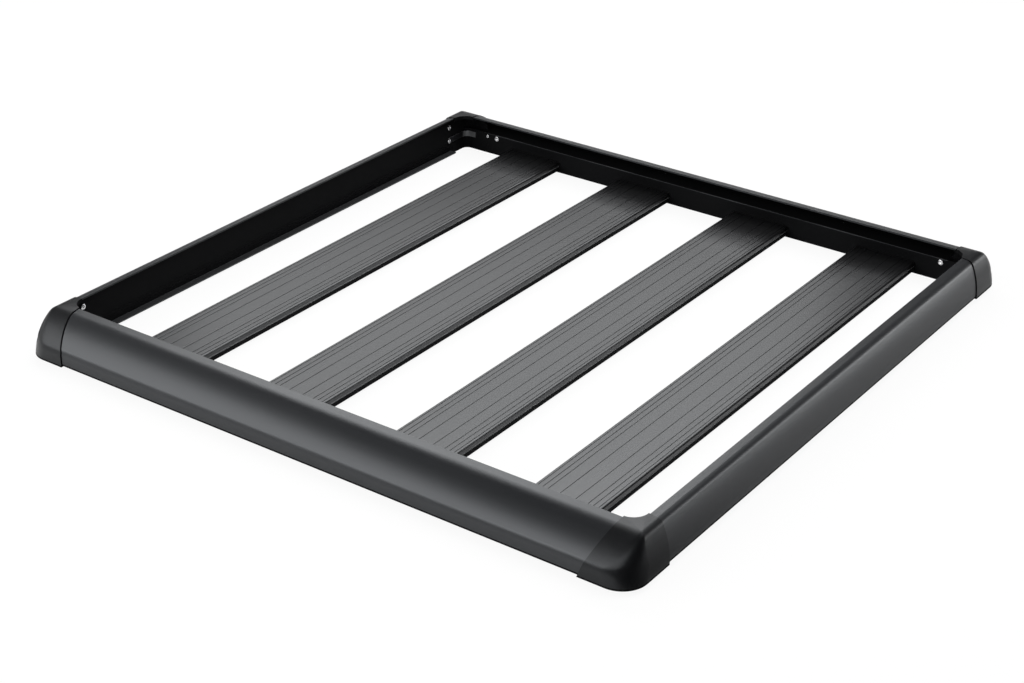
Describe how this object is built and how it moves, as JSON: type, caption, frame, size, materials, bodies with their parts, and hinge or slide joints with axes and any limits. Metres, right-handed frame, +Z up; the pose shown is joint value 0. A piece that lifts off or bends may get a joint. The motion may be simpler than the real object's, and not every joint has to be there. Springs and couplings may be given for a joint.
{
  "type": "flat platform roof rack",
  "caption": "Flat open platform roof rack: sloped black rails joined by moulded corner caps, with wide grooved slats across the frame for carrying loads on a vehicle roof.",
  "frame": {"origin": "bottom centre of the platform, on the surface that it rests on", "axes": "+X to the right along the front rail, +Y from the front rail to the rear rail along the slats, +Z up"},
  "size_m": [1.003, 1.043, 0.0675],
  "materials": {
    "rail_finish": "satin black powder coat",
    "slat_finish": "satin black anodised",
    "cap_plastic": "fine-grained satin black",
    "bracket_metal": "mill finish",
    "screw_steel": "bright stainless"
  },
  "bodies": {
    "root": {"front_rail": "rail_finish", "rear_rail": "rail_finish", "left_rail": "rail_finish", "right_rail": "rail_finish", "slat_1": "slat_finish", "slat_2": "slat_finish", "slat_3": "slat_finish", "slat_4": "slat_finish", "corner_cap_front_left": "cap_plastic", "corner_cap_front_right": "cap_plastic", "corner_cap_rear_left": "cap_plastic", "corner_cap_rear_right": "cap_plastic", "corner_bracket_front_left": "bracket_metal", "corner_bracket_front_right": "bracket_metal", "corner_bracket_rear_left": "bracket_metal", "corner_bracket_rear_right": "bracket_metal", "corner_screws_front_left": "screw_steel", "corner_screws_front_right": "screw_steel", "corner_screws_rear_left": "screw_steel", "corner_screws_rear_right": "screw_steel", "slat_screws_1": "screw_steel", "slat_screws_2": "screw_steel", "slat_screws_3": "screw_steel", "slat_screws_4": "screw_steel"}
  },
  "joints": []
}
